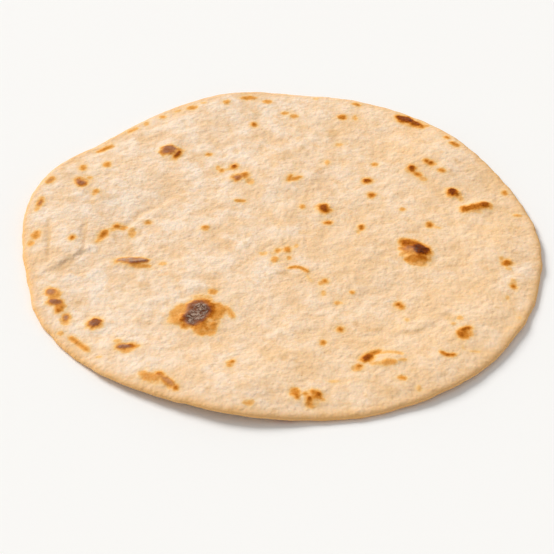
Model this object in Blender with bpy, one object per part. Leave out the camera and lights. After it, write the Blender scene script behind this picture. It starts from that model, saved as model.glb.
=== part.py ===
"""A chapati: one thin round flatbread of wheat flour and water, rolled out and baked dry on a griddle.

It is a single solid. The rolled disc is not quite round, thins towards its rim and is rounded off there.
Steam has left low puffs and three soft steps in the top, and the bread stands off its surface in waves.
Metres, +Z up. The origin is under the middle of the disc, where the bread lies flat.
"""

import math

import bmesh
import bpy
from mathutils import Matrix, Vector

MM = 0.001

# The rolled disc.
DIAMETER = 180 * MM
THICKNESS = 2.3 * MM
RIM_THICKNESS = 1.8 * MM
RIM_TAPER = 14 * MM  # the band in which the dough thins towards its rim
RIM_ROUND = 1.7 * MM  # how far in from the outline the edge turns over

# How far from a circle it was rolled: the number of lobes round the rim, their height, and one lobe's bearing
# in degrees.
OUTLINE_LOBES = (
    (2, 0.9 * MM, -44),
    (3, 0.7 * MM, -43),
    (4, 0.5 * MM, -25),
    (5, 0.4 * MM, 12),
    (6, 0.6 * MM, -12),
    (7, 0.5 * MM, 6),
)
# Short bulges and nicks of the outline: bearing and half width in degrees, and height.
OUTLINE_BULGES = (
    (84, 4, -0.7 * MM),
    (140, 14, -1.2 * MM),
    (-154, 6, 0.8 * MM),
    (-133, 16, -1.1 * MM),
    (-113, 12, -0.9 * MM),
    (-86, 8, -1.0 * MM),
    (-48, 12, 0.4 * MM),
    (-25, 8, 0.5 * MM),
)

# Where the rim stands off the surface below: bearing and half width in degrees, and height.
RIM_LIFTS = (
    (38, 17, 1.1 * MM),
    (100, 19, 0.7 * MM),
    (164, 24, 2.1 * MM),
    (-106, 24, 2.0 * MM),
    (-38, 20, 1.1 * MM),
)
LIFT_REACH = 46 * MM  # how far in from the rim a lift is felt

# Slow swells of the whole sheet: wavelength, and bearing of travel and phase in degrees.
SWELLS = (
    (71 * MM, 25, 40),
    (53 * MM, 98, 200),
    (44 * MM, 152, 310),
    (36 * MM, 60, 115),
)
SWELL_HEIGHT = 0.25 * MM  # of each swell
FLAT_RADIUS = 15 * MM  # the middle lies flat on the surface within this radius
FLAT_BLEND = 22 * MM  # and the swells come in over this much more
SOFT_FLOOR = 0.5 * MM  # how gently the top levels out where the underside is pressed flat

# Puffs that steam raised in the top: middle, length, width, bearing of the length in degrees, and height.
PUFFS = (
    ((-26 * MM, -42 * MM), 26 * MM, 21 * MM, 20, 0.6 * MM),
    ((47 * MM, -9.5 * MM), 14 * MM, 11 * MM, -42, 1.0 * MM),
    ((-50.5 * MM, -14.5 * MM), 15 * MM, 8 * MM, 0, 0.7 * MM),
    ((70 * MM, 16 * MM), 16 * MM, 9 * MM, 12, 0.7 * MM),
    ((50.5 * MM, 69.5 * MM), 17 * MM, 8 * MM, -36, 0.5 * MM),
    ((-41 * MM, 50.5 * MM), 12 * MM, 12 * MM, 0, 0.6 * MM),
    ((63 * MM, 24.5 * MM), 10 * MM, 9 * MM, 0, 0.5 * MM),
    ((16 * MM, 14.5 * MM), 9 * MM, 9 * MM, 0, 0.5 * MM),
    ((-15 * MM, 34 * MM), 12 * MM, 9 * MM, 30, 0.5 * MM),
    ((34.5 * MM, -63.5 * MM), 13 * MM, 8 * MM, 4, 0.7 * MM),
    ((9.5 * MM, -80 * MM), 13 * MM, 10 * MM, 0, 0.5 * MM),
    ((-60 * MM, -46.5 * MM), 10 * MM, 10 * MM, 0, 0.5 * MM),
    ((-74.5 * MM, -34.5 * MM), 22 * MM, 9 * MM, -62, 0.5 * MM),
    ((-39 * MM, -72.5 * MM), 18 * MM, 8 * MM, -22, 0.5 * MM),
)

# Steps where an upper layer parted from the rest: three points that the step bends through, its height, and
# how far the layer to the right of that line stays raised.
STEPS = (
    (((-62.5 * MM, -6 * MM), (-71 * MM, -12 * MM), (-82 * MM, -21.5 * MM)), 0.5 * MM, 24 * MM),
    (((36 * MM, -48 * MM), (29 * MM, -51 * MM), (20 * MM, -50 * MM)), 0.22 * MM, 24 * MM),
    (((57 * MM, -37.5 * MM), (48 * MM, -51.5 * MM), (36 * MM, -49.5 * MM)), 0.27 * MM, 26 * MM),
)
STEP_WIDTH = 2.4 * MM  # the run over which a step climbs
STEP_FADE = 0.25  # share of its length over which a step dies away at each end
STEP_SAMPLES = 16  # points tried along a step to find the nearest

# The mesh: evenly spaced rings of the disc, and bands round its edge.
RINGS = 22
EDGE_BANDS = 6

DOUGH_COLOUR = (0.90, 0.64, 0.40, 1.0)
DOUGH_ROUGHNESS = 0.75


def ramp(value, start, end):
    """0 before start, 1 after end, and a smooth climb between."""
    share = min(max((value - start) / (end - start), 0.0), 1.0)
    return share * share * (3 - 2 * share)


def bell(bearing, middle, half_width):
    """1 at the middle bearing, falling away on both sides; all in degrees."""
    turn = (bearing - middle + 180) % 360 - 180
    return math.exp(-((turn / half_width) ** 2))


def outline_radius(bearing):
    """How far out the rim lies at a bearing in degrees."""
    radius = DIAMETER / 2
    for lobes, height, lobe_bearing in OUTLINE_LOBES:
        radius += height * math.cos(math.radians(lobes * (bearing - lobe_bearing)))
    for bulge_bearing, half_width, height in OUTLINE_BULGES:
        radius += height * bell(bearing, bulge_bearing, half_width)
    return radius


def sheet_height(x, y, inset, bearing):
    """How far the bread would stand off the surface if nothing stopped it, this far in from the rim."""
    lift = 0.0
    for lift_bearing, half_width, height in RIM_LIFTS:
        lift += height * bell(bearing, lift_bearing, half_width)
    swell = 0.0
    for wavelength, travel, phase in SWELLS:
        along = x * math.cos(math.radians(travel)) + y * math.sin(math.radians(travel))
        swell += SWELL_HEIGHT * math.sin(math.tau * along / wavelength + math.radians(phase))
    swell *= ramp(math.hypot(x, y), FLAT_RADIUS, FLAT_RADIUS + FLAT_BLEND)
    return lift * (1 - ramp(inset, 0, LIFT_REACH)) + swell


def puff_height(x, y):
    """The domes of all the puffs, each a smooth cap that ends just past its own outline."""
    height = 0.0
    for (middle_x, middle_y), length, width, bearing, rise in PUFFS:
        cosine = math.cos(math.radians(bearing))
        sine = math.sin(math.radians(bearing))
        along = (x - middle_x) * cosine + (y - middle_y) * sine
        across = (y - middle_y) * cosine - (x - middle_x) * sine
        reach = math.hypot(2 * along / length, 2 * across / width)
        height += rise * (1 - ramp(reach, 0.2, 1.1))
    return height


def step_height(x, y):
    """How much the parted upper layers add at this point."""
    height = 0.0
    for corners, rise, reach in STEPS:
        start, middle, end = (Vector(corner) for corner in corners)
        nearest_gap = math.inf
        for sample in range(STEP_SAMPLES + 1):
            share = sample / STEP_SAMPLES
            gap = Vector((x, y)) - start.lerp(middle, share).lerp(middle.lerp(end, share), share)
            if gap.length < nearest_gap:
                nearest_gap = gap.length
                travel = (middle - start).lerp(end - middle, share)
                to_right = math.copysign(gap.length, gap.x * travel.y - gap.y * travel.x)
                along = share
        climb = ramp(to_right, -STEP_WIDTH / 2, STEP_WIDTH / 2) * (1 - ramp(to_right, 0, reach))
        height += rise * climb * ramp(along, 0, STEP_FADE) * (1 - ramp(along, 1 - STEP_FADE, 1))
    return height


def on_disc(flat):
    """Turns a point of the unit hexagon into its share of the way out to the rim, and its bearing."""
    bearing = math.degrees(math.atan2(flat.y, flat.x)) % 360
    sector_middle = 60 * min(int(bearing / 60), 5) + 30
    facing = math.radians(sector_middle)
    out = (flat.x * math.cos(facing) + flat.y * math.sin(facing)) / math.cos(math.radians(30))
    side = flat.y * math.cos(facing) - flat.x * math.sin(facing)
    return out, sector_middle + (60 * side / out if out else 0)


def place(vertex):
    """Moves a vertex of the flat hexagonal slab, whose height runs from 0 to 1, to its place in the bread."""
    out, bearing = on_disc(vertex.co.xy)
    rim = outline_radius(bearing)
    edge_turn = math.pi * (vertex.co.z - 0.5)  # straight down at the underside, straight up at the top
    radius = out * (rim - RIM_ROUND)
    if out > 1 - 0.5 / RINGS:
        radius += RIM_ROUND * math.cos(edge_turn)
    inset = rim - radius
    x = radius * math.cos(math.radians(bearing))
    y = radius * math.sin(math.radians(bearing))
    sheet = sheet_height(x, y, inset, bearing)
    underside = max(sheet, 0)
    levelled = (sheet + math.hypot(sheet, SOFT_FLOOR)) / 2
    thickness = RIM_THICKNESS + (THICKNESS - RIM_THICKNESS) * ramp(inset, 0, RIM_TAPER)
    relief = (puff_height(x, y) + step_height(x, y)) * ramp(inset, -RIM_ROUND, RIM_TAPER / 2)
    top = levelled + thickness + relief
    share_up = (math.sin(edge_turn) + 1) / 2
    vertex.co = Vector((x, y, underside + share_up * (top - underside)))


def dough_material():
    material = bpy.data.materials.new("baked_wheat_dough")
    material.use_nodes = True
    surface = material.node_tree.nodes["Principled BSDF"]
    surface.inputs["Base Color"].default_value = DOUGH_COLOUR
    surface.inputs["Roughness"].default_value = DOUGH_ROUGHNESS
    surface.inputs["Metallic"].default_value = 0.0
    return material


def chapati():
    """A hexagonal slab cut into even triangles, its edge cut into bands, and each vertex put in its place."""
    form = bmesh.new()
    corner_on_x = Matrix.Rotation(math.radians(30), 4, "Z")
    bmesh.ops.create_circle(form, cap_ends=True, cap_tris=True, segments=6, radius=1, matrix=corner_on_x)
    bmesh.ops.subdivide_edges(form, edges=form.edges[:], cuts=RINGS - 1, use_grid_fill=True)
    sheet = bmesh.ops.extrude_face_region(form, geom=form.faces[:])
    raised = [item for item in sheet["geom"] if isinstance(item, bmesh.types.BMVert)]
    bmesh.ops.translate(form, verts=raised, vec=(0, 0, 1))
    upright = [edge for edge in form.edges if abs(edge.verts[0].co.z - edge.verts[1].co.z) > 0.5]
    bmesh.ops.subdivide_edges(form, edges=upright, cuts=EDGE_BANDS - 1)
    for vertex in form.verts:
        place(vertex)
    across = [vertex.co.x for vertex in form.verts]
    deep = [vertex.co.y for vertex in form.verts]
    to_middle = Vector((-(min(across) + max(across)) / 2, -(min(deep) + max(deep)) / 2, 0))
    bmesh.ops.translate(form, verts=form.verts[:], vec=to_middle)
    bmesh.ops.recalc_face_normals(form, faces=form.faces[:])

    mesh = bpy.data.meshes.new("chapati")
    form.to_mesh(mesh)
    form.free()
    mesh.shade_smooth()
    mesh.materials.append(dough_material())
    bread = bpy.data.objects.new("chapati", mesh)
    bpy.context.scene.collection.objects.link(bread)


for leftover in list(bpy.data.objects):
    bpy.data.objects.remove(leftover, do_unlink=True)
chapati()
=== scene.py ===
"""The looks of one chapati: a thin round wheat flatbread, baked dry on a griddle until steam blistered it.

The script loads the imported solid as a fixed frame, puts the finished bread in its place, and lights and frames it.
The bread's sizes are in millimetres, with +X to the right, +Y away from the camera and +Z up.
"""

import math

import bpy
import numpy as np
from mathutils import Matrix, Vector, noise


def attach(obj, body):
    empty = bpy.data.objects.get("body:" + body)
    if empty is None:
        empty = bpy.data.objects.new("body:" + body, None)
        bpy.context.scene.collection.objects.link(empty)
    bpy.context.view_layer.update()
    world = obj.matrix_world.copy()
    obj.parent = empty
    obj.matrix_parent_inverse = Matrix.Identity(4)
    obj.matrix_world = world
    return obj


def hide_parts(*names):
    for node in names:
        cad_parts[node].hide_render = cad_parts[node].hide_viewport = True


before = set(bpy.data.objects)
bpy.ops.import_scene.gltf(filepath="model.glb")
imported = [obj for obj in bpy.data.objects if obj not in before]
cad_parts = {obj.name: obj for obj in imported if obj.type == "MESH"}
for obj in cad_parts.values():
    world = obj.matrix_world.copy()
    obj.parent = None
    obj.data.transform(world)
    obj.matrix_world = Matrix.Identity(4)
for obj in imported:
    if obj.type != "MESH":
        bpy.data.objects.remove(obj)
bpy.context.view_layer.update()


# ---------------------------------------------------------------------------------------------------------------
# The bread: wholewheat flour and water, kneaded, rolled out by hand and baked on a dry iron griddle.
# It is one thin sheet. Steam parted its layers in low puffs, and the iron browned it where those puffs touched it.
# ---------------------------------------------------------------------------------------------------------------
MM = 0.001

# The rolled disc, the same as in the solid that this piece replaces.
DIAMETER = 180
THICKNESS = 2.3
RIM_THICKNESS = 1.8
RIM_TAPER = 14  # the band in which the dough thins towards its rim
RIM_ROUND = 1.7  # how far in from the outline the edge turns over

# How far from a circle it was rolled: the number of lobes round the rim, their height, and one's bearing in degrees.
OUTLINE_LOBES = ((2, 0.9, -44), (3, 0.7, -43), (4, 0.5, -25), (5, 0.4, 12), (6, 0.6, -12), (7, 0.5, 6))
# Short bulges and nicks of the outline: bearing and half width in degrees, and height.
OUTLINE_BULGES = (
    (84, 4, -0.7),
    (140, 14, -1.2),
    (-154, 6, 0.8),
    (-133, 16, -1.1),
    (-113, 12, -0.9),
    (-86, 8, -1.0),
    (-48, 12, 0.4),
    (-25, 8, 0.5),
)

# Where the rim stands off the surface below: bearing and half width in degrees, and height.
RIM_LIFTS = ((38, 17, 1.1), (100, 19, 0.7), (164, 24, 2.1), (-106, 24, 2.0), (-38, 20, 1.1))
LIFT_REACH = 46  # how far in from the rim a lift is felt

# Slow swells of the whole sheet: wavelength, and bearing of travel and phase in degrees.
SWELLS = ((71, 25, 40), (53, 98, 200), (44, 152, 310), (36, 60, 115))
SWELL_HEIGHT = 0.25
FLAT_RADIUS = 15  # the middle lies flat on the surface within this radius
FLAT_BLEND = 22  # and the swells come in over this much more
SOFT_FLOOR = 0.5  # how gently the top levels out where the underside is pressed flat

# Puffs that steam raised in the top: middle, length, width, bearing of the length in degrees, and height.
PUFFS = (
    (-26, -42, 26, 21, 20, 0.6),
    (47, -9.5, 14, 11, -42, 1.0),
    (-50.5, -14.5, 15, 8, 0, 0.7),
    (70, 16, 16, 9, 12, 0.7),
    (50.5, 69.5, 17, 8, -36, 0.5),
    (-41, 50.5, 12, 12, 0, 0.6),
    (63, 24.5, 10, 9, 0, 0.5),
    (16, 14.5, 9, 9, 0, 0.5),
    (-15, 34, 12, 9, 30, 0.5),
    (34.5, -63.5, 13, 8, 4, 0.7),
    (9.5, -80, 13, 10, 0, 0.5),
    (-60, -46.5, 10, 10, 0, 0.5),
    (-74.5, -34.5, 22, 9, -62, 0.5),
    (-39, -72.5, 18, 8, -22, 0.5),
)

# Steps where an upper layer parted from the rest: three points that the step bends through, its height, and how
# far the layer to the right of that line stays raised.
STEPS = (
    ((-62.5, -6), (-71, -12), (-82, -21.5), 0.50, 24),
    ((36, -48), (29, -51), (20, -50), 0.22, 24),
    ((57, -37.5), (48, -51.5), (36, -49.5), 0.27, 26),
)
STEP_WIDTH = 2.4  # the run over which a step climbs
STEP_FADE = 0.25  # share of its length over which a step dies away at each end
STEP_GROOVE = 0.14  # depth of the line pressed in along the foot of a step
STEP_WAVER = 0.6  # how far the line of a step strays to either side

# Ridges and creases: three points that each bends through, its height, which is negative in a crease, and half width.
CREASES = (
    ((-58.2, 1.5), (-46.9, 15.2), (-34.5, 28), -0.26, 1.3),
    ((-56.9, -1), (-45.5, 11.9), (-33.3, 25), 0.24, 1.4),
    ((-69.2, 12), (-68.3, 1), (-67.3, -14), -0.42, 0.9),
    ((-81.5, 10), (-80, -4), (-79, -18), -0.32, 0.9),
    ((-33, 27), (-22, 34), (-12, 37), 0.12, 1.6),
    ((10, 36), (14, 41), (17, 46), -0.15, 1.2),
)

# The crumpled skin: the size across of its lumps, and their height.
CRUMPLES = ((9, 0.18), (4.6, 0.135), (2.4, 0.092))
PILLOWS = ((5.2, 0.13), (2.6, 0.095))  # rounded lumps with sharp valleys between them
DRAG_LUMPS = (11, 3.4)  # long low ridges, drawn out by the rolling pin: their length and width
DRAG_BEARING = 40
DRAG_HEIGHT = 0.04
# Painted shade: the skin's hollows are tinted tan, so that its tops look paler.
HOLLOW_SHADE_RANGE = (-0.12, 0.16)  # the heights of the skin between which its tan hollows give way to paler tops

# The dough is a little browner towards +X: partly its own baking, and partly painted shade, darker and warmer on that
# side. How far it strays, over what distance, and between which places it turns.
WARM_TILT = 0.3
WARM_STRAY = 15
WARM_SIZE = 45
WARM_RANGE = (-60, 50)
WARM_SHARE = 0.75
BROAD_TONE_SHARE = 0.35

# The mesh: rings of the top and of the underside, and bands round the edge between them.
TOP_RINGS = 160
UNDER_RINGS = 74
EDGE_BANDS = 5

# What the griddle browned. Each mark is an oval: its middle, length, width, bearing of the length in degrees, and
# depth, where 0.2 is pale gold, 0.3 orange gold, 0.5 red-brown, 0.7 dark brown and 1 char.
BIG_SCORCH = (
    (-27, -41.2, 11, 7, 60, 0.84),
    (-27, -36.8, 5.6, 5, 0, 0.66),
    (-24.4, -39.8, 4.4, 5, 0, 0.76),
    (-30.4, -43.4, 4, 4.4, 0, 0.74),
    (-29.4, -38, 3.4, 4, 0, 0.62),
    (-26.6, -40.2, 13.6, 9.6, 66, 0.60),
    (-32.4, -41.2, 10, 7.6, 78, 0.32),
    (-35.2, -43.6, 4, 4.4, 0, 0.22),
    (-21.2, -39.6, 8.6, 6.6, 90, 0.40),
    (-24.4, -47.4, 8.4, 7.4, 0, 0.31),
    (-26.4, -46.6, 5.4, 3.6, 0, 0.44),
    (-22, -46.4, 2.4, 3, 0, 0.40),
    (-25.4, -50, 3, 2.6, 0, 0.36),
    (-31.2, -45.6, 3.6, 4.4, 0, 0.42),
    (-25.8, -33.2, 7, 4.6, 0, 0.19),
    (-22.4, -29.8, 3, 3, 0, 0.36),
    (-20.6, -44, 2.2, 4.6, 0, 0.26),
    (-22.4, -49.4, 3.4, 4, 0, 0.25),
    (-24, -47.8, 1, 1.2, 0, 0.55),
    (-31.3, -46.4, 1.1, 1.2, 0, 0.52),
)
BLISTERS = (
    (48.6, -8, 7, 5.4, -60, 0.92),
    (45.9, -5.4, 9, 5.4, -36, 0.64),
    (43, -3.4, 4, 2.6, 0, 0.48),
    (43.6, -7.6, 5, 2.4, -24, 0.52),
    (44.8, -9.4, 5, 3.4, -20, 0.40),
    (42.6, -10, 3.4, 3.4, 0, 0.24),
    (46.4, -12.6, 7, 3.6, 4, 0.48),
    (48.6, -12.4, 4, 3, 0, 0.56),
    (47.2, -15, 6, 3, 0, 0.28),
    (51.2, -11.6, 1.4, 4.4, 0, 0.28),
    (62.2, 25, 3.6, 4.2, 0, 0.86),
    (63, 23.6, 3, 1.8, -29, 0.60),
    (64.8, 21.8, 2.2, 3.4, 0, 0.25),
    (15.3, 15.8, 3.2, 4, 0, 0.73),
    (16.2, 14, 2.4, 3, 0, 0.70),
    (17.8, 14.5, 2, 1.4, -30, 0.34),
    (-60.4, -45.6, 4.2, 4.6, 0, 0.78),
    (-50.8, -14, 11, 3.2, 0, 0.56),
    (-47.8, -16.5, 7, 2, -2, 0.38),
    (-40, -15.3, 3, 2.2, 0, 0.24),
)
BACK_MARKS = (
    (-41.3, 50.6, 5.6, 5.4, 30, 0.66),
    (-42.6, 49.4, 3, 4, 0, 0.50),
    (-38.1, 47.9, 4.6, 1.3, 66, 0.80),
    (-37.4, 50.4, 1.6, 2, 0, 0.42),
    (-51, 68.7, 2, 2.8, 0, 0.30),
    (-45, 73, 2, 1.8, 0, 0.38),
    (-39.5, 77, 2.4, 1.2, 22, 0.26),
    (-34, 78.8, 4, 3, 15, 0.36),
    (-29.5, 81.8, 2.4, 1.2, 0, 0.20),
    (-20.5, 81.8, 2.4, 2.4, 0, 0.36),
    (-12, 85, 6, 2.4, 0, 0.42),
    (-5, 82.5, 3.2, 2.4, 0, 0.38),
    (2.5, 89, 3, 1.2, 0, 0.18),
    (14, 85.5, 2.4, 1.8, 0, 0.20),
    (30, 81.7, 3.4, 1.8, -22, 0.44),
    (-9.8, 67.6, 1.9, 2.6, 0, 0.56),
    (-26.5, 48, 2, 1.4, 0, 0.44),
    (-22.8, 40, 1.6, 3, 0, 0.27),
    (-21.3, 38.2, 1.7, 2.2, 0, 0.42),
    (-16.9, 40.4, 1.8, 2.2, 0, 0.80),
    (-19, 38.8, 2, 1.2, 22, 0.22),
    (-15.6, 33.1, 3.4, 3.4, 0, 0.60),
    (-12.8, 34.6, 2.6, 3.6, 0, 0.50),
    (-11, 31.2, 4, 3, -52, 0.25),
    (2, 75, 2.8, 1.5, 0, 0.37),
    (5.5, 73, 3.4, 2.2, 0, 0.34),
    (17.5, 43, 2.2, 3.4, 0, 0.25),
    (22.3, 54.7, 2.6, 2.2, 0, 0.27),
    (24, 72.7, 3.2, 3, -42, 0.52),
    (29, 72.4, 1.9, 3.6, 0, 0.28),
    (3.6, 33, 1.2, 3.6, -20, 0.48),
    (6, 32.8, 4.2, 1.9, 28, 0.44),
    (31.8, 31.9, 3, 2.6, 0, 0.78),
    (35, 42, 1.9, 2.2, 0, 0.42),
)
RIGHT_MARKS = (
    (48.1, 71.2, 7.8, 4.8, -36, 0.82),
    (51.5, 68.5, 6, 3.8, -36, 0.76),
    (54, 66.3, 1.8, 2.8, 0, 0.64),
    (55.8, 66.6, 1.9, 1.8, 0, 0.36),
    (45.5, 73, 1.5, 2.8, 0, 0.45),
    (63, 58, 2.2, 1.7, -36, 0.52),
    (65.5, 53.4, 4.2, 2.4, -42, 0.50),
    (48.5, 38.8, 2.8, 3.4, 0, 0.76),
    (50.4, 35.6, 3.7, 2, -50, 0.50),
    (52.4, 33, 3, 2.6, -29, 0.26),
    (54.1, 42.5, 2, 2, 0, 0.56),
    (55.6, 41.4, 2.1, 2.1, -29, 0.70),
    (57, 40.7, 1.8, 1.7, 0, 0.30),
    (59.2, 37, 2.6, 1.2, -36, 0.52),
    (66, 14.8, 3, 3.4, 0, 0.62),
    (69, 15.6, 5.6, 3.2, 15, 0.58),
    (72.8, 16.8, 3.8, 3.6, 22, 0.70),
    (69.5, 13.3, 5, 1.4, 0, 0.20),
    (75.2, 16.4, 1.4, 2.8, 0, 0.34),
    (70.5, 17.6, 2.1, 1.6, 0, 0.30),
    (81.2, 25, 1.9, 2.8, 0, 0.45),
    (84.2, 11.7, 2.8, 1.4, 0, 0.32),
    (77.4, -15, 2.8, 2.8, 0, 0.60),
    (75.8, -12.6, 1, 1.2, 0, 0.30),
    (77.6, -18, 2, 1, 0, 0.22),
    (78.3, -26.8, 1.3, 1.6, 0, 0.58),
    (78.4, -25.7, 2.7, 5.6, 0, 0.20),
    (75.6, -32.6, 1.4, 2, 0, 0.23),
    (78.5, -42.5, 2, 2.4, 0, 0.17),
)
MIDDLE_MARKS = (
    (33, 23.3, 2.6, 3, -30, 0.57),
    (43.6, 15, 1.4, 1.7, 0, 0.34),
    (28.5, 4.7, 1.3, 2.4, 0, 0.62),
    (27.4, 2.4, 1.1, 2.2, 0, 0.22),
    (52.7, 6.3, 1.9, 2.6, 0, 0.56),
    (55, 4.8, 3.4, 1.6, -22, 0.22),
    (-14.3, 20, 3.2, 1, 0, 0.40),
    (-26.2, 3.8, 2.6, 2.4, 0, 0.30),
    (-26.2, 4.9, 2, 1, 0, 0.46),
    (8, 16.6, 1.5, 2.2, 0, 0.42),
    (16.9, 7.6, 2.6, 1.9, 0, 0.57),
    (-0.9, -7.9, 1.7, 2.6, 0, 0.40),
    (-2.6, -9.4, 2.6, 3, 0, 0.14),
    (2.6, -7.6, 2.3, 3.4, 0, 0.48),
    (3.1, -12, 0.9, 1.6, 0, 0.34),
    (-1.9, -12.8, 2.6, 3.4, 0, 0.34),
    (5.6, -5.5, 1.1, 1.6, 0, 0.26),
    (-5.8, -9.4, 3.4, 2.2, 0, 0.22),
    (15, -24.3, 1.8, 2, 0, 0.48),
    (13.8, -25.3, 1.7, 2.2, 0, 0.30),
    (14.4, -30.3, 1.7, 3, 0, 0.25),
    (24, -30, 0.8, 0.9, 0, 0.46),
    (19, -35.2, 2.4, 1.9, 0, 0.34),
    (39, -36, 1.6, 1.8, 0, 0.66),
    (39.9, -37.2, 1.6, 2.2, 0, 0.52),
    (41.5, -44, 1.3, 2, 0, 0.20),
    (19.5, -48.2, 1.7, 1.9, 0, 0.62),
    (13.7, -54.7, 1.4, 1.7, 0, 0.52),
)
FRONT_MARKS = (
    (27.6, -62.2, 4.2, 3.3, 42, 0.76),
    (30.4, -59.6, 3.8, 2, 12, 0.50),
    (25, -65.8, 1.7, 1.4, 15, 0.56),
    (24.4, -66.6, 3.2, 2.4, 15, 0.32),
    (34.2, -64.8, 5.6, 2.4, 6, 0.34),
    (30.4, -65, 4.4, 1.8, 0, 0.26),
    (38.8, -63.6, 3, 1.6, 15, 0.26),
    (38.2, -71.6, 2.4, 1.3, -22, 0.45),
    (43.2, -75.8, 1.9, 2.8, 0, 0.23),
    (55, -61, 2.2, 1.8, 0, 0.30),
    (59.2, -51.2, 3.8, 4.8, 0, 0.50),
    (60.2, -49, 3.4, 1.6, 25, 0.68),
    (61.4, -50.8, 1.6, 3.4, 0, 0.34),
    (58.4, -51.6, 1.6, 2.2, 0, 0.60),
    (58.6, -43.5, 2, 2, 0, 0.29),
    (56.4, -46.3, 1.3, 1.5, 0, 0.22),
    (58.6, -57.3, 1.6, 2.4, 0, 0.16),
    (62.3, -59, 3.2, 1, 0, 0.20),
    (4.6, -77.8, 2.7, 4.2, 0, 0.46),
    (5.2, -79.6, 0.8, 1.9, 0, 0.56),
    (7.8, -78.4, 1.5, 1.5, 0, 0.46),
    (10.8, -77.7, 3.6, 2.3, -29, 0.50),
    (12, -78.4, 1.1, 1.4, 0, 0.64),
    (11.2, -79.6, 3.2, 2.3, 0, 0.46),
    (8.9, -80.5, 1.5, 1.7, 0, 0.72),
    (8.6, -82.1, 1.8, 2.8, 0, 0.45),
    (9.5, -83.3, 1.5, 1.4, 0, 0.32),
    (12.9, -80.4, 1.6, 1.4, 0, 0.30),
    (9.8, -80.3, 6.5, 8, 0, 0.16),
    (-16, -65.5, 2, 3.4, 0, 0.32),
    (-15.2, -64.3, 0.9, 1.2, 0, 0.54),
    (-10, -83.5, 3.2, 1.8, 0, 0.29),
    (-8.7, -82.6, 1.5, 1.3, 0, 0.22),
    (16.6, -72.2, 3.1, 1, 0, 0.20),
)
LEFT_MARKS = (
    (-39.6, -71.8, 8, 3.9, -5, 0.37),
    (-43, -70.4, 2.6, 3.4, 0, 0.30),
    (-38, -70.5, 2, 1.9, 0, 0.52),
    (-35.2, -73.8, 6, 2.5, -44, 0.50),
    (-33.6, -76, 3.2, 2.2, 0, 0.30),
    (-32.5, -76.8, 1, 1.4, 0, 0.58),
    (-39, -74.3, 4.4, 1.8, 0, 0.18),
    (-50.3, -57.6, 4, 2.5, 0, 0.74),
    (-47.7, -57.2, 3, 2.5, 15, 0.66),
    (-46.1, -57.1, 2, 1.4, 0, 0.35),
    (-49.2, -59.4, 3.4, 1.9, 0, 0.30),
    (-52.5, -54.7, 3, 2.4, 0, 0.22),
    (-57.7, -61.5, 2, 1, 0, 0.18),
    (-76.5, -30, 3.6, 3.9, 0, 0.58),
    (-75, -32, 4.4, 5.2, 0, 0.36),
    (-74.4, -35, 4.6, 2.6, -10, 0.70),
    (-72.7, -37.8, 3.4, 4.8, 0, 0.43),
    (-73.2, -39.2, 1.1, 1.5, 0, 0.52),
    (-70.3, -42.4, 1.9, 2.8, 0, 0.62),
    (-70.3, -43.6, 3.4, 5.4, 0, 0.24),
    (-71.2, -49.5, 2, 2, 0, 0.30),
    (-83.4, 30.4, 4.4, 2.2, 60, 0.44),
    (-85.5, 17, 4.2, 1.7, 74, 0.58),
    (-85.2, 19.6, 1.8, 2.2, 0, 0.25),
    (-86.2, 13.5, 2, 1.2, 70, 0.28),
    (-72.2, 38.3, 2, 4, 0, 0.42),
    (-63.8, 40.8, 2.6, 4, 0, 0.42),
    (-73.2, 30.6, 2.2, 3, 0, 0.50),
    (-71.7, 28.6, 3.6, 3.2, 25, 0.68),
    (-72.2, 29.6, 4, 4.6, 0, 0.36),
    (-69.2, 31.9, 2, 1.8, 0, 0.30),
    (-66.2, 24, 1.7, 2.2, 0, 0.40),
    (-66.8, 22.8, 1.5, 2.2, 0, 0.25),
    (-65.5, 52, 7, 2.2, 38, 0.44),
    (-56, 64.5, 4.5, 1.8, 38, 0.36),
    (-72.1, -2.8, 1.4, 1.9, 0, 0.64),
    (-61.5, 0.8, 5, 2.4, 66, 0.54),
    (-62.6, -2.6, 4, 1.8, 62, 0.32),
    (-57.3, 5.2, 1.9, 2.1, 22, 0.66),
    (-58.8, 3.4, 2, 2.8, 0, 0.26),
    (-55, 4.5, 2.8, 2, 29, 0.40),
    (-51.8, 2, 2.6, 5, 0, 0.27),
    (-84.9, -0.6, 2.8, 4.6, 0, 0.40),
    (-86.3, -4.4, 2.4, 2.8, 0, 0.33),
    (-46.5, 7.7, 1.9, 1.6, 0, 0.42),
)
BURNS = BIG_SCORCH + BLISTERS + BACK_MARKS + RIGHT_MARKS + MIDDLE_MARKS + FRONT_MARKS + LEFT_MARKS

# Marks drawn out along a curve, where a fold or a blister's rim touched: three points, width and depth.
BURNT_LINES = (
    ((-19, -37.2), (-16.6, -38.4), (-15.4, -43), 2, 0.33),
    ((41, -2.4), (47, -1), (51.2, -7.6), 1.5, 0.46),
    ((-52, -15.2), (-48, -15.6), (-44.8, -13.4), 0.6, 0.84),
    ((2.6, -17.6), (6.3, -15.2), (9.9, -20.2), 0.2, 0.50),
    ((9.3, -20.2), (9, -23), (11, -24.5), 0.9, 0.17),
    ((51.1, -59.5), (52.8, -62.2), (56, -60.6), 0.9, 0.60),
    ((31.6, -60), (35.6, -59.2), (39.6, -60.8), 1.4, 0.25),
    ((-68.5, -51), (-65, -54.5), (-61, -58.8), 1.5, 0.42),
    ((-68.5, 27.5), (-64.5, 20), (-68, 17), 1.8, 0.08),
)
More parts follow.
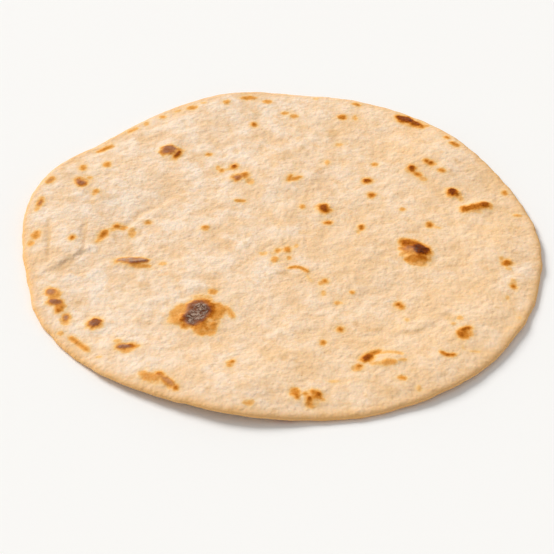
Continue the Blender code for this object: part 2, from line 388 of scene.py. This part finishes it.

# Dull tan patches, where the dough is only a little baked through; those laid along the steps and creases are painted
# shade in their hollows.
TAN_AND_SHADE_PATCHES = (
    (-62.5, 20.5, 6, 4, 15),
    (-68, 18, 5, 2, 10),
    (-79, 37, 2.2, 2.2, 0),
    (-81.5, -22, 3, 1.6, 0),
    (-73, -16, 10, 3, 42),
    (-68, 2, 1.2, 14, 0),
    (-80, -4, 1.2, 14, 0),
    (-66.8, -35, 2.6, 1.8, 0),
    (-49, 1.5, 1.6, 4, 0),
    (-46, -26.5, 4, 3, 30),
    (3, 48, 4.4, 6, 0),
    (1.5, 45, 1.6, 2.6, 0),
    (8.8, 52.5, 1.6, 1.8, 0),
    (18, 75, 1.6, 3, 0),
    (20, 61, 4, 6, 0),
    (14, 38, 5, 1.4, 50),
    (45.6, 2.5, 4, 1.6, 0),
    (80.8, 3, 1.4, 3.4, 0),
    (83, 4.4, 2.2, 1.2, 0),
    (80.5, -10, 2.8, 1.2, 0),
    (88.3, -16.3, 1, 2.2, 0),
    (1.5, -20.3, 3.2, 2.6, 0),
    (10.8, -24, 1.8, 2.2, 0),
    (24.5, -45.6, 2, 2.4, 0),
    (9, -48.3, 1, 0.9, 0),
    (31, -48.5, 6, 1.6, 12),
    (43, -50.3, 7, 1.8, 8),
    (56, -43, 3, 5, 25),
    (-57.5, -0.5, 2, 3, 0),
    (-63.6, -3.4, 3, 3, 0),
    (53, -61.5, 2, 2.2, 0),
    (0.9, -61.6, 3, 3.4, 0),
    (5, -63.4, 2, 1.6, 0),
    (35, -77, 5, 4, 0),
    (71.6, -38, 2.2, 1.2, 0),
    (65, 43, 1.6, 2.2, 0),
    (-12, -4, 1.4, 1.8, 0),
)
# Broad places a little darker than the dough around them, and broad places a little paler.
DARKER_PLACES = (
    (-64, 30, 22, 16, 0),
    (-46, 17, 12, 14, 40),
    (-33, -16, 24, 12, 0),
    (-16, -32, 18, 14, 0),
    (-16, -48, 14, 12, 0),
    (-50, -32, 20, 14, 0),
    (0, -62, 24, 14, 0),
    (48, -48, 20, 14, 0),
    (66, 8, 34, 26, 0),
    (48, -16, 8, 6, 0),
    (48, 48, 12, 12, 0),
    (14, 66, 22, 16, 0),
    (62, -30, 16, 14, 0),
    (-76, 12, 12, 20, 0),
)
PALER = (
    (-64, -6, 24, 24, 0),
    (0, -81, 26, 12, 0),
    (-48, 46, 14, 12, 0),
    (32, -31, 16, 12, 0),
    (0, -16, 18, 14, 0),
    (-18, 78, 24, 12, 0),
    (14, 31, 18, 12, 0),
    (-16, 14, 12, 12, 0),
    (80, -17, 12, 16, 0),
)
# Where charring has turned to a dull grey-brown film: partly ash, and partly a painted sheen of light glancing off
# smooth char.
ASH_AND_SHEEN_PATCHES = (
    (-27.2, -41.6, 9, 5.6, 58),
    (-26.3, -37.4, 4, 3, 0),
    (-50.8, -13.6, 10, 3.4, 0),
)
# Smaller burns that only have a haze of it.
HAZY_ASH_AND_SHEEN_PATCHES = (
    (-41.4, 50.4, 6.4, 6, 20),
    (-39.5, 52, 4, 2.6, 0),
    (-72.3, 29.6, 4.4, 4.4, 0),
    (-85.5, 17, 4.4, 2.6, 74),
    (-76.6, -30.2, 4.4, 4, 0),
    (-74.6, -35.2, 5, 2.6, -12),
    (-70.3, -42.2, 2, 3, 0),
    (-60.4, -45.8, 4, 3.4, 0),
    (-50.4, -57.4, 5, 2.4, 0),
    (-35, -73.6, 5.6, 2.2, -44),
    (-40.5, -72, 7, 2.8, -5),
    (-83.4, 30, 4, 2.2, 60),
    (-15.2, 33.4, 4, 3, 15),
    (-28.5, -38.5, 9, 8, 60),
    (44.2, -8.8, 6, 4.4, -20),
)
HAZE_SHARE = 0.38
ASH_AND_SHEEN_LUMPS = 1.6  # size across of the lumps that make the film uneven, and how uneven it is
ASH_AND_SHEEN_UNEVENNESS = 0.55
MARK_INNER = 0.9  # how far inside its outline a mark is at full depth
MARK_OUTER = 1.2  # and how far outside it ends
HALO_REACH = 1.5  # how far the golden ring round a dark mark reaches
HALO_SHARE = 0.32  # the ring's depth, as a share of the mark's
RAGGED_LUMPS = (2.2, 1.0)  # size across of the lumps that make the outlines ragged
RAGGED_SHARES = (0.05, 0.04)  # how far those move an outline, as a share of the mark's width
BLEND_POWER = 4  # how firmly the deepest of overlapping marks wins
BLISTER_HEIGHT = 0.28  # how far the deepest marks stand proud

# The underside lay on the griddle too. Its marks are scattered evenly: how many, and the range of size and depth.
UNDER_MARKS = 110
UNDER_MARK_SIZES = (2.5, 9)
UNDER_MARK_DEPTHS = (0.25, 0.8)
UNDER_SEED = 11
UNDER_LUMPS = 5  # size across of the low hollows that steam left in the underside, and their height
UNDER_RELIEF = 0.12


def ramp(value, start, end):
    """0 before start, 1 after end, and a smooth climb between."""
    share = np.clip((value - start) / (end - start), 0, 1)
    return share * share * (3 - 2 * share)


def bell(bearing, middle, half_width):
    """1 at the middle bearing, falling away on both sides; all in degrees."""
    turn = (bearing - middle + 180) % 360 - 180
    return np.exp(-((turn / half_width) ** 2))


def waver(x, y, size, layer):
    """Smooth noise from about -1 to 1, whose lumps are the given size across. Each layer has its own."""
    height = 7.3 * layer
    places = zip((x / size).tolist(), (y / size).tolist())
    return np.array([noise.noise((across, deep, height)) for across, deep in places]) * 1.6


def turned(x, y, bearing):
    """How far each place lies along a bearing in degrees, and how far to the left of it."""
    cosine = math.cos(math.radians(bearing))
    sine = math.sin(math.radians(bearing))
    return x * cosine + y * sine, y * cosine - x * sine


def outline_radius(bearing):
    """How far out the rim lies at a bearing in degrees."""
    radius = np.full_like(bearing, DIAMETER / 2)
    for lobes, height, lobe_bearing in OUTLINE_LOBES:
        radius += height * np.cos(np.radians(lobes * (bearing - lobe_bearing)))
    for bulge_bearing, half_width, height in OUTLINE_BULGES:
        radius += height * bell(bearing, bulge_bearing, half_width)
    return radius


def sheet_height(x, y, inset, bearing):
    """How far the bread would stand off the surface if nothing stopped it, this far in from the rim."""
    lift = np.zeros_like(x)
    for lift_bearing, half_width, height in RIM_LIFTS:
        lift += height * bell(bearing, lift_bearing, half_width)
    swell = np.zeros_like(x)
    for wavelength, travel, phase in SWELLS:
        along, _ = turned(x, y, travel)
        swell += SWELL_HEIGHT * np.sin(math.tau * along / wavelength + math.radians(phase))
    swell *= ramp(np.hypot(x, y), FLAT_RADIUS, FLAT_RADIUS + FLAT_BLEND)
    return lift * (1 - ramp(inset, 0, LIFT_REACH)) + swell


def puff_height(x, y):
    """The domes of all the puffs, each a smooth cap that ends just past its own outline."""
    height = np.zeros_like(x)
    for middle_x, middle_y, length, width, bearing, rise in PUFFS:
        along, across = turned(x - middle_x, y - middle_y, bearing)
        height += rise * (1 - ramp(np.hypot(2 * along / length, 2 * across / width), 0.2, 1.1))
    return height


def beside_curve(x, y, start, middle, end):
    """For each place, how far it is to the right of a smooth curve, and the share along it of its nearest point."""
    start, middle, end = (np.array(corner, float) for corner in (start, middle, end))
    nearest = np.full_like(x, np.inf)
    to_right = np.zeros_like(x)
    along = np.zeros_like(x)
    for share in np.linspace(0, 1, 25):
        first = start + (middle - start) * share
        second = middle + (end - middle) * share
        gap_x = x - (first + (second - first) * share)[0]
        gap_y = y - (first + (second - first) * share)[1]
        travel = second - first
        gap = np.hypot(gap_x, gap_y)
        closer = gap < nearest
        side = np.sign(gap_x * travel[1] - gap_y * travel[0])
        to_right = np.where(closer, gap * side, to_right)
        along = np.where(closer, share, along)
        nearest = np.where(closer, gap, nearest)
    return to_right, along


def step_height(x, y):
    """How much the parted upper layers add, with the groove pressed in along their foot."""
    height = np.zeros_like(x)
    stray = STEP_WAVER * waver(x, y, 8, 31)
    for start, middle, end, rise, reach in STEPS:
        to_right, along = beside_curve(x, y, start, middle, end)
        to_right = to_right + stray
        climb = ramp(to_right, -STEP_WIDTH / 2, STEP_WIDTH / 2) * (1 - ramp(to_right, 0, reach))
        groove = STEP_GROOVE / rise * np.exp(-(((to_right + STEP_WIDTH / 2) / 1.2) ** 2))
        height += rise * (climb - groove) * ramp(along, 0, STEP_FADE) * (1 - ramp(along, 1 - STEP_FADE, 1))
    return height


def crease_height(x, y):
    """The ridges and creases, each fading at both ends."""
    height = np.zeros_like(x)
    stray = 0.6 * waver(x, y, 6, 32)
    for start, middle, end, rise, half_width in CREASES:
        to_right, along = beside_curve(x, y, start, middle, end)
        fade = ramp(along, 0, 0.2) * (1 - ramp(along, 0.8, 1))
        height += rise * fade * np.exp(-(((to_right + stray) / half_width) ** 2))
    return height


def crumpled(x, y):
    """The height of the crumpled skin: smooth lumps, pillows with valleys between, and what the pin drew out."""
    height = np.zeros_like(x)
    for layer, (size, rise) in enumerate(CRUMPLES, 21):
        height += rise * waver(x, y, size, layer)
    for layer, (size, rise) in enumerate(PILLOWS, 26):
        height += rise * np.abs(waver(x, y, size, layer))
    along, across = turned(x, y, DRAG_BEARING)
    length, width = DRAG_LUMPS
    return height + DRAG_HEIGHT * waver(along / length, across / width, 1, 29)


def marked(x, y, ovals):
    """How deeply a set of oval marks has baked each place, with ragged edges and a golden ring round each."""
    lumps = [waver(x, y, size, layer) for layer, size in enumerate(RAGGED_LUMPS, 1)]
    ragged = sum(share * lump for share, lump in zip(RAGGED_SHARES, lumps))
    total = np.zeros_like(x)
    for middle_x, middle_y, length, width, bearing, depth in ovals:
        along, across = turned(x - middle_x, y - middle_y, bearing)
        reach = np.hypot(2 * along / length, 2 * across / width)
        steepness = np.maximum(np.hypot(4 * along / length ** 2, 4 * across / width ** 2), 1e-9)
        outside = reach * (reach - 1) / steepness + 2 * ragged * min(length, width, 4)
        total += edged(outside, depth, min(length, width)) ** BLEND_POWER
    return total ** (1 / BLEND_POWER)


def edged(outside, depth, width):
    """The depth of one mark at places this far outside its outline, which is negative inside."""
    core = depth * (1 - ramp(outside, -min(MARK_INNER, width / 2), MARK_OUTER))
    ring = depth * HALO_SHARE * np.exp(-((np.maximum(outside, 0) / HALO_REACH) ** 2))
    return np.maximum(core, ring)


def drawn(x, y):
    """How deeply the marks that follow a curve have baked each place."""
    total = np.zeros_like(x)
    for start, middle, end, width, depth in BURNT_LINES:
        to_right, along = beside_curve(x, y, start, middle, end)
        fade = ramp(along, -0.1, 0.15) * (1 - ramp(along, 0.85, 1.1))
        total = np.maximum(total, fade * edged(np.abs(to_right) - width / 2, depth, width))
    return total


def patched(x, y, ovals):
    """1 inside a set of soft-edged ovals, and 0 well outside them."""
    bare = np.ones_like(x)
    for middle_x, middle_y, length, width, bearing in ovals:
        along, across = turned(x - middle_x, y - middle_y, bearing)
        bare *= ramp(np.hypot(2 * along / length, 2 * across / width), 0.5, 1.5)
    return 1 - bare


def under_marks():
    """The marks of the underside, scattered over the disc, where most are small and few are large."""
    chance = np.random.default_rng(UNDER_SEED)
    smallest, largest = UNDER_MARK_SIZES
    palest, deepest = UNDER_MARK_DEPTHS
    marks = []
    for _ in range(UNDER_MARKS):
        radius = 0.97 * DIAMETER / 2 * math.sqrt(chance.random())
        bearing = chance.uniform(0, math.tau)
        length = smallest + (largest - smallest) * chance.random() ** 3
        width = length * chance.uniform(0.55, 1)
        depth = palest + (deepest - palest) * chance.random() ** 1.5
        place = (radius * math.cos(bearing), radius * math.sin(bearing))
        marks.append((*place, length, width, chance.uniform(0, 180), depth))
        if length > 4:
            marks.append((*place, length * 1.5, width * 1.5, chance.uniform(0, 180), depth * 0.45))
    return marks


def rings_of(count):
    """Shares of the way out from the middle, and bearings in degrees, of count rings of evenly spaced points."""
    shares = [np.zeros(1)]
    bearings = [np.zeros(1)]
    for ring in range(1, count + 1):
        points = 6 * ring
        shares.append(np.full(points, ring / count))
        bearings.append(np.arange(points) * 360 / points)
    return shares, bearings


def strip(first, second):
    """The triangles between two closed rings of vertices, which may have different numbers of them."""
    triangles = []
    if len(first) > 1:
        apex = ((2 * np.arange(len(first)) + 1) * len(second) + len(first) - 1) // (2 * len(first))
        triangles.append(np.stack([first, second[apex % len(second)], np.roll(first, -1)], 1))
    if len(second) > 1:
        apex = ((2 * np.arange(len(second)) + 1) * len(first) + len(second)) // (2 * len(second))
        triangles.append(np.stack([second, np.roll(second, -1), first[apex % len(first)]], 1))
    return np.concatenate(triangles)


def bread_mesh():
    """The whole skin of the bread, as rings from the middle of the top, over the edge, to the middle below."""
    top_shares, top_bearings = rings_of(TOP_RINGS)
    under_shares, under_bearings = rings_of(UNDER_RINGS)
    edge_shares = [top_shares[-1]] * (EDGE_BANDS - 1)
    edge_bearings = [top_bearings[-1]] * (EDGE_BANDS - 1)
    shares = top_shares + edge_shares + under_shares[::-1]
    bearings = top_bearings + edge_bearings + under_bearings[::-1]
    edge_turns = [90] * len(top_shares)
    edge_turns += [90 - 180 * band / EDGE_BANDS for band in range(1, EDGE_BANDS)]
    edge_turns += [-90] * len(under_shares)

    counts = [len(ring) for ring in shares]
    starts = np.concatenate([[0], np.cumsum(counts)])
    rings = [np.arange(starts[place], starts[place + 1]) for place in range(len(counts))]
    triangles = np.concatenate([strip(first, second) for first, second in zip(rings, rings[1:])])

    share = np.concatenate(shares)
    bearing = np.concatenate(bearings)
    turn = np.radians(np.concatenate([np.full(count, float(turned_by)) for count, turned_by in zip(counts, edge_turns)]))
    heading = np.radians(bearing)
    rim = outline_radius(bearing)
    rim += 0.22 * waver(90 * np.cos(heading), 90 * np.sin(heading), 6, 11)
    rim += 0.10 * waver(90 * np.cos(heading), 90 * np.sin(heading), 2.2, 12)
    radius = share * (rim - RIM_ROUND) + np.where(share > 0.999, RIM_ROUND * np.cos(turn), 0)
    inset = rim - radius
    x = radius * np.cos(heading)
    y = radius * np.sin(heading)
    up_share = (np.sin(turn) + 1) / 2
    on_top = turn > -0.5

    burnt = np.where(on_top, np.maximum(marked(x, y, BURNS), drawn(x, y)), marked(x, y, under_marks()))
    # Tan patches: partly the dough's own tone, and along the steps and creases painted shade.
    tan_and_shade = np.where(on_top, patched(x, y, TAN_AND_SHADE_PATCHES), 0)
    # The grey film on the char: partly ash, and partly a painted sheen.
    film = np.maximum(patched(x, y, ASH_AND_SHEEN_PATCHES), HAZE_SHARE * patched(x, y, HAZY_ASH_AND_SHEEN_PATCHES))
    film *= ramp(burnt, 0.25, 0.6) * (1 + ASH_AND_SHEEN_UNEVENNESS * waver(x, y, ASH_AND_SHEEN_LUMPS, 51))
    ash_and_sheen = np.where(on_top, np.clip(film, 0, 1), 0)
    # Browner towards +X: partly the dough's own baking, and partly painted shade on that side.
    across = x - WARM_TILT * y + WARM_STRAY * waver(x, y, WARM_SIZE, 41)
    warmth = WARM_SHARE * ramp(across, *WARM_RANGE) + BROAD_TONE_SHARE * (patched(x, y, DARKER_PLACES) - patched(x, y, PALER))
    skin = crease_height(x, y) + crumpled(x, y)

    sheet = sheet_height(x, y, inset, bearing)
    underside = np.maximum(sheet, 0) + UNDER_RELIEF * np.maximum(waver(x, y, UNDER_LUMPS, 61), 0)
    levelled = (sheet + np.hypot(sheet, SOFT_FLOOR)) / 2
    thickness = RIM_THICKNESS + (THICKNESS - RIM_THICKNESS) * ramp(inset, 0, RIM_TAPER)
    blisters = BLISTER_HEIGHT * ramp(burnt, 0.25, 0.9)
    relief = puff_height(x, y) + step_height(x, y) + skin + blisters
    top = levelled + thickness + relief * ramp(inset, -RIM_ROUND, RIM_TAPER / 2)
    z = underside + up_share * (top - underside)

    x -= (x.min() + x.max()) / 2
    y -= (y.min() + y.max()) / 2
    places = np.stack([x, y, z], 1) * MM
    mesh = bpy.data.meshes.new("chapati_baked")
    mesh.vertices.add(len(places))
    mesh.vertices.foreach_set("co", places.astype(np.float32).ravel())
    mesh.loops.add(triangles.size)
    mesh.loops.foreach_set("vertex_index", triangles.astype(np.int32).ravel())
    mesh.polygons.add(len(triangles))
    mesh.polygons.foreach_set("loop_start", np.arange(0, triangles.size, 3, dtype=np.int32))
    mesh.update(calc_edges=True)
    mesh.shade_smooth()
    looks = {"burnt": burnt, "tan_and_shade": tan_and_shade, "ash_and_sheen": ash_and_sheen, "warmth": np.clip(warmth, 0, 1)}
    # Painted shade in the hollows of the crumpled skin and its creases.
    looks["hollow_shade"] = 1 - ramp(skin, *HOLLOW_SHADE_RANGE)
    # The rim and the edge wall are tinted a deeper tan, most on the wall: partly the edge's own colour, and partly
    # painted shade and warm bounced light.
    looks["rim"] = (1 - ramp(inset, 0.5, 5)) * (1 - 0.5 * ramp(turn, 0.6, 1.4))
    for name, values in looks.items():
        layer = mesh.attributes.new(name, "FLOAT", "POINT")
        layer.data.foreach_set("value", values.astype(np.float32))
    return mesh


def linear(colour, alpha=1.0):
    """An sRGB hex colour, such as "F4D2AA", as the linear colour that shaders take."""
    channels = [int(colour[place:place + 2], 16) / 255 for place in (0, 2, 4)]
    return tuple(c / 12.92 if c <= 0.04045 else ((c + 0.055) / 1.055) ** 2.4 for c in channels) + (alpha,)


def node(tree, kind, inputs=None, **settings):
    """Adds one node with its settings. Each input is a value of its own or the output that feeds it."""
    added = tree.nodes.new(kind)
    for name, value in settings.items():
        setattr(added, name, value)
    for socket, value in (inputs or {}).items():
        if isinstance(value, bpy.types.NodeSocket):
            tree.links.new(value, added.inputs[socket])
        else:
            added.inputs[socket].default_value = value
    return added


# The dough's own colour, and the tones that cloud it. Each is the size of its lumps in millimetres, the levels of
# noise between which it comes in, its strongest share, and its colour.
DOUGH = "FAE4CD"
DOUGH_TONES = (
    (24, 0.40, 0.62, 0.30, "F2CFA6"),
    (9, 0.44, 0.66, 0.75, "EEC79C"),
    (4, 0.50, 0.72, 0.75, "EEC79A"),
)
# What is laid over it: the attribute that says where, its strongest share, and its colour. The hollow tint is painted
# shade, and the warmth, rim and tan tints are partly painted shade.
TINTS = (("warmth", 0.55, "F2C68F"), ("hollow_shade", 0.40, "EBC08D"), ("rim", 0.80, "EBB268"), ("tan_and_shade", 0.50, "D9AE78"))
BRAN_SPACING = 3.2
BRAN = "B07F50"
GRAIN_SIZE = 1.7
GRAIN_HEIGHT = 0.42
PIT_SPACING = 2.2
PIT_DEPTH = 0.07
# The colours of browning dough, from the depth at which each one shows.
BROWNING = (
    (0.10, "F4CB94"),
    (0.20, "F1BA74"),
    (0.30, "E9A556"),
    (0.40, "DB903A"),
    (0.50, "C97822"),
    (0.60, "B2620E"),
    (0.70, "9A4D05"),
    (0.80, "833B05"),
    (0.90, "6B2D07"),
    (1.00, "4A220F"),
)
SPECKLE_SIZE = 0.85
# Charred dough is speckled with soot and ash, and its grey film is partly a painted sheen of light glancing off smooth
# char.
SOOT = "523826"
ASH_AND_SHEEN_COLOUR = "C8AE9A"
ASH_AND_SHEEN_SHARE = 0.8


def griddled_dough():
    """Baked wheat dough, dry and matt: cream to beige, with bran, toasted through gold and orange to dark brown."""
    material = bpy.data.materials.new("griddled_wheat_dough")
    material.use_nodes = True
    tree = material.node_tree
    surface = tree.nodes["Principled BSDF"]
    place = node(tree, "ShaderNodeTexCoord").outputs["Object"]

    dough = linear(DOUGH)
    lumps = {}
    for size, low, high, share, colour in DOUGH_TONES:
        cloud = {"Vector": place, "Scale": 1 / (size * MM), "Detail": 2.0, "Roughness": 0.55}
        lumps[size] = node(tree, "ShaderNodeTexNoise", cloud).outputs["Fac"]
        fade = {"Value": lumps[size], "From Min": low, "From Max": high, "To Max": share}
        factor = node(tree, "ShaderNodeMapRange", fade).outputs["Result"]
        dough = node(tree, "ShaderNodeMix", {"Factor": factor, 6: dough, 7: linear(colour)}, data_type="RGBA").outputs[2]
    for name, share, colour in TINTS:
        amount = node(tree, "ShaderNodeAttribute", attribute_name=name).outputs["Fac"]
        factor = node(tree, "ShaderNodeMath", {0: amount, 1: share}, operation="MULTIPLY").outputs[0]
        dough = node(tree, "ShaderNodeMix", {"Factor": factor, 6: dough, 7: linear(colour)}, data_type="RGBA").outputs[2]

    # Bran: small flakes, one near the middle of each cell, thinned out where the cloud is low.
    cells = node(tree, "ShaderNodeTexVoronoi", {"Vector": place, "Scale": 1 / (BRAN_SPACING * MM)})
    flake = {"Value": cells.outputs["Distance"], "From Min": 0.05, "From Max": 0.13, "To Min": 0.4, "To Max": 0}
    flakes = node(tree, "ShaderNodeMapRange", flake).outputs["Result"]
    thinned = node(tree, "ShaderNodeMapRange", {"Value": lumps[9], "From Min": 0.45, "From Max": 0.6})
    factor = node(tree, "ShaderNodeMath", {0: flakes, 1: thinned.outputs["Result"]}, operation="MULTIPLY").outputs[0]
    dough = node(tree, "ShaderNodeMix", {"Factor": factor, 6: dough, 7: linear(BRAN)}, data_type="RGBA").outputs[2]

    # Browning: the depth of the mark, made uneven by a fine speckle, picks the colour.
    burnt = node(tree, "ShaderNodeAttribute", attribute_name="burnt").outputs["Fac"]
    cloud = {"Vector": place, "Scale": 1 / (SPECKLE_SIZE * MM), "Detail": 4.0, "Roughness": 0.75}
    speckle = node(tree, "ShaderNodeTexNoise", cloud).outputs["Fac"]
    uneven = {"Value": speckle, "From Min": 0.3, "From Max": 0.7, "To Min": 0.78, "To Max": 1.16}
    unevenness = node(tree, "ShaderNodeMapRange", uneven).outputs["Result"]
    depth = node(tree, "ShaderNodeMath", {0: burnt, 1: unevenness}, operation="MULTIPLY").outputs[0]
    browning = node(tree, "ShaderNodeValToRGB", {"Fac": depth})
    stops = browning.color_ramp.elements
    stops.remove(stops[1])
    stops[0].position = BROWNING[0][0]
    for position, _ in BROWNING[1:]:
        stops.new(position)
    for stop, (_, colour) in zip(stops, BROWNING):
        stop.color = linear(colour)
    factor = node(tree, "ShaderNodeMapRange", {"Value": depth, "From Min": 0.02, "From Max": 0.16}).outputs["Result"]
    brown = {"Factor": factor, 6: dough, 7: browning.outputs["Color"]}
    dough = node(tree, "ShaderNodeMix", brown, data_type="RGBA").outputs[2]

    # The grey film on the char: partly ash, and partly a painted sheen.
    ash_and_sheen = node(tree, "ShaderNodeAttribute", attribute_name="ash_and_sheen").outputs["Fac"]
    filmed = node(tree, "ShaderNodeMapRange", {"Value": speckle, "From Min": 0.44, "From Max": 0.60}).outputs["Result"]
    smooth = {"Value": burnt, "From Min": 0.55, "From Max": 0.95, "To Min": 0.85, "To Max": 0}
    evened = node(tree, "ShaderNodeMapRange", smooth).outputs["Result"]
    filmed = node(tree, "ShaderNodeMath", {0: filmed, 1: evened}, operation="MAXIMUM").outputs[0]
    film = {"Factor": filmed, 6: linear(SOOT), 7: linear(ASH_AND_SHEEN_COLOUR)}
    charred = node(tree, "ShaderNodeMix", film, data_type="RGBA").outputs[2]
    factor = node(tree, "ShaderNodeMath", {0: ash_and_sheen, 1: ASH_AND_SHEEN_SHARE}, operation="MULTIPLY").outputs[0]
    dough = node(tree, "ShaderNodeMix", {"Factor": factor, 6: dough, 7: charred}, data_type="RGBA").outputs[2]
    tree.links.new(dough, surface.inputs["Base Color"])

    glaze = {"Value": depth, "From Min": 0.3, "From Max": 0.9, "To Min": 0.72, "To Max": 0.42}
    tree.links.new(node(tree, "ShaderNodeMapRange", glaze).outputs["Result"], surface.inputs["Roughness"])
    surface.inputs["IOR"].default_value = 1.45
    surface.inputs["Specular IOR Level"].default_value = 0.05
    surface.inputs["Subsurface Weight"].default_value = 0.10
    surface.inputs["Subsurface Radius"].default_value = (1.0, 0.5, 0.25)
    surface.inputs["Subsurface Scale"].default_value = 1.0 * MM

    # The finest relief, too small for the mesh: soft grains of flour, and the pits left where small bubbles burst.
    cloud = {"Vector": place, "Scale": 1 / (GRAIN_SIZE * MM), "Detail": 1.0, "Roughness": 0.5}
    grains = node(tree, "ShaderNodeTexNoise", cloud).outputs["Fac"]
    grained = node(tree, "ShaderNodeBump", {"Strength": 1.0, "Distance": GRAIN_HEIGHT * MM, "Height": grains})
    cells = node(tree, "ShaderNodeTexVoronoi", {"Vector": place, "Scale": 1 / (PIT_SPACING * MM)})
    hole = {"Value": cells.outputs["Distance"], "From Max": 0.5}
    pits = node(tree, "ShaderNodeMapRange", hole, interpolation_type="SMOOTHSTEP").outputs["Result"]
    pitted = {"Strength": 1.0, "Distance": PIT_DEPTH * MM, "Height": pits, "Normal": grained.outputs["Normal"]}
    tree.links.new(node(tree, "ShaderNodeBump", pitted).outputs["Normal"], surface.inputs["Normal"])
    return material


bread = bpy.data.objects.new("chapati_baked", bread_mesh())
bread.data.materials.append(griddled_dough())
bpy.context.scene.collection.objects.link(bread)
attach(bread, "root")
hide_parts("chapati")


# ---------------------------------------------------------------------------------------------------------------
# The floor: a plain pale sheet of smooth card that runs out of view on every side.
# ---------------------------------------------------------------------------------------------------------------
FLOOR_SIDE = 6.0  # metres

floor_mesh = bpy.data.meshes.new("floor")
half = FLOOR_SIDE / 2
floor_mesh.from_pydata([(-half, -half, 0), (half, -half, 0), (half, half, 0), (-half, half, 0)], [], [(0, 1, 2, 3)])
card = bpy.data.materials.new("smooth_white_card")
card.use_nodes = True
card.node_tree.nodes["Principled BSDF"].inputs["Base Color"].default_value = linear("F8F7F5")
card.node_tree.nodes["Principled BSDF"].inputs["Roughness"].default_value = 0.9
floor_mesh.materials.append(card)
floor = bpy.data.objects.new("floor", floor_mesh)
bpy.context.scene.collection.objects.link(floor)


# ---------------------------------------------------------------------------------------------------------------
# The light: a white room all round, and one large soft window high up behind the bread on its left.
# ---------------------------------------------------------------------------------------------------------------
WALL_LIGHT = 1.0
CEILING_LIGHT = 0.46
WINDOW_LIGHT = 2.83

world = bpy.data.worlds.new("white_room")
world.use_nodes = True
sky = node(world.node_tree, "ShaderNodeTexCoord").outputs["Generated"]
upward = node(world.node_tree, "ShaderNodeSeparateXYZ", {"Vector": sky}).outputs["Z"]
heights = {"Value": upward, "From Min": 0.05, "From Max": 0.35, "To Min": WALL_LIGHT, "To Max": CEILING_LIGHT}
glow = node(world.node_tree, "ShaderNodeMapRange", heights, interpolation_type="SMOOTHSTEP").outputs["Result"]
world.node_tree.links.new(glow, world.node_tree.nodes["Background"].inputs["Strength"])
world.node_tree.nodes["Background"].inputs["Color"].default_value = (1, 1, 1, 1)
bpy.context.scene.world = world


window = bpy.data.lights.new("window", "SUN")
window.energy = WINDOW_LIGHT
window.angle = math.radians(28)
window.color = (1.0, 0.99, 0.97)
window_place = bpy.data.objects.new("window", window)
window_place.rotation_euler = Vector((-0.60, 0.62, 0.62)).to_track_quat("Z", "Y").to_euler()
bpy.context.scene.collection.objects.link(window_place)


# ---------------------------------------------------------------------------------------------------------------
# The camera: a long lens that looks down on the bread from the front.
# ---------------------------------------------------------------------------------------------------------------
CAMERA_LENS = 100  # mm, on a sensor 36 mm wide
CAMERA_ELEVATION = math.radians(40.5)
CAMERA_DISTANCE = 0.5217
CAMERA_AIM = Vector((-0.001, -0.0216, 0.00135))

camera_data = bpy.data.cameras.new("camera")
camera_data.lens = CAMERA_LENS
camera = bpy.data.objects.new("camera", camera_data)
backward = Vector((0, -math.cos(CAMERA_ELEVATION), math.sin(CAMERA_ELEVATION)))
camera.location = CAMERA_AIM + backward * CAMERA_DISTANCE
camera.rotation_euler = backward.to_track_quat("Z", "Y").to_euler()
bpy.context.scene.collection.objects.link(camera)
bpy.context.scene.camera = camera
bpy.context.scene.view_settings.view_transform = "Standard"
